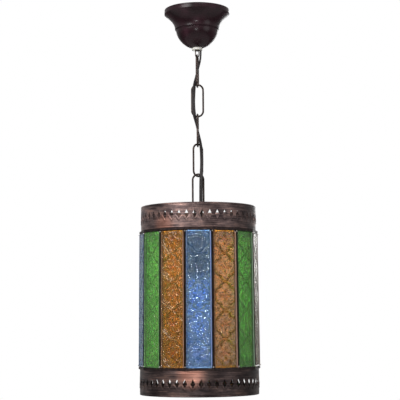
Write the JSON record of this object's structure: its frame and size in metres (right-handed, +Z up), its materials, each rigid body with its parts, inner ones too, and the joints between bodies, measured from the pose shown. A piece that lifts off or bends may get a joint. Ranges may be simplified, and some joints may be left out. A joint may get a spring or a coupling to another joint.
{
  "type": "pendant lantern",
  "caption": "Pendant lantern with coloured pressed-glass strips between pierced metal rings, hung by a chain and flat flex from a bell-shaped ceiling canopy.",
  "frame": {"origin": "middle of the ceiling plane, between the two ceiling screws of the strap", "axes": "+Z up, away from the lamp and into the ceiling; the lamp hangs down -Z; -Y is the front, where one blue strip faces the viewer; +X to the viewer's right"},
  "size_m": [0.2056, 0.2006, 0.654],
  "materials": {
    "zinc_steel": "satin",
    "canopy_lacquer": "gloss",
    "dark_metal": "satin",
    "brass": "satin",
    "white_plastic": "satin",
    "core_plastic": "gloss",
    "flex_plastic": "satin",
    "copper_bronze": "satin",
    "black_plastic": "satin",
    "porcelain": "gloss",
    "dark_came": "matte",
    "solder": "satin",
    "blue_glass": "gloss",
    "green_glass": "gloss",
    "amber_glass": "gloss",
    "clear_glass": "gloss"
  },
  "bodies": {
    "canopy": {"ceiling_strap": "zinc_steel", "canopy": "canopy_lacquer", "eye_bolt": "dark_metal", "strap_nuts": "brass", "cord_collar": "white_plastic", "collar_screw": "zinc_steel", "terminal_block": "white_plastic", "terminal_screws": "brass", "supply_cores": "core_plastic", "cable": "flex_plastic"},
    "link_1": {"link_1": "dark_metal"},
    "link_2": {"link_2": "dark_metal"},
    "link_3": {"link_3": "dark_metal"},
    "link_4": {"link_4": "dark_metal"},
    "link_5": {"link_5": "dark_metal"},
    "lantern": {"hanging_eye": "dark_metal", "cross_bar": "dark_metal", "bar_rivets": "copper_bronze", "nipple": "brass", "nipple_washer": "zinc_steel", "nipple_nut": "brass", "holder_cap": "black_plastic", "holder_base": "porcelain", "holder_shell": "brass", "holder_sleeve": "black_plastic", "centre_contact": "brass", "contact_screws": "brass", "holder_cores": "core_plastic", "top_ring": "copper_bronze", "bottom_ring": "copper_bronze", "top_rail": "dark_came", "bottom_rail": "dark_came", "uprights": "dark_came", "corner_solder": "solder", "glass_01": "blue_glass", "glass_02": "amber_glass", "glass_03": "green_glass", "glass_04": "clear_glass", "glass_05": "amber_glass", "glass_06": "green_glass", "glass_07": "clear_glass", "glass_08": "blue_glass", "glass_09": "clear_glass", "glass_10": "green_glass", "glass_11": "amber_glass", "glass_12": "blue_glass", "glass_13": "green_glass", "glass_14": "amber_glass"}
  },
  "joints": [
    {"name": "link_1_swing", "type": "hinge", "parent": "canopy", "child": "link_1", "pos_m": [0, 0, -0.0814], "axis": [1, 0, 0], "range_deg": [-25, 25], "deforming": ["cable"]},
    {"name": "link_2_swing", "type": "hinge", "parent": "link_1", "child": "link_2", "pos_m": [0, 0, -0.1336], "axis": [0.1392, 0.9903, 0], "range_deg": [-25, 25], "deforming": ["cable"]},
    {"name": "link_3_swing", "type": "hinge", "parent": "link_2", "child": "link_3", "pos_m": [0, 0, -0.1851], "axis": [1, 0, 0], "range_deg": [-25, 25], "deforming": ["cable"]},
    {"name": "link_4_swing", "type": "hinge", "parent": "link_3", "child": "link_4", "pos_m": [0, 0, -0.2366], "axis": [0.0523, 0.9986, 0], "range_deg": [-25, 25], "deforming": ["cable"]},
    {"name": "link_5_swing", "type": "hinge", "parent": "link_4", "child": "link_5", "pos_m": [0, 0, -0.2881], "axis": [0.788, 0.6157, 0], "range_deg": [-25, 25], "deforming": ["cable"]},
    {"name": "lantern_swing", "type": "hinge", "parent": "link_5", "child": "lantern", "pos_m": [0, 0, -0.3396], "axis": [0.9613, -0.2756, 0], "range_deg": [-30, 30], "deforming": ["cable"]}
  ]
}
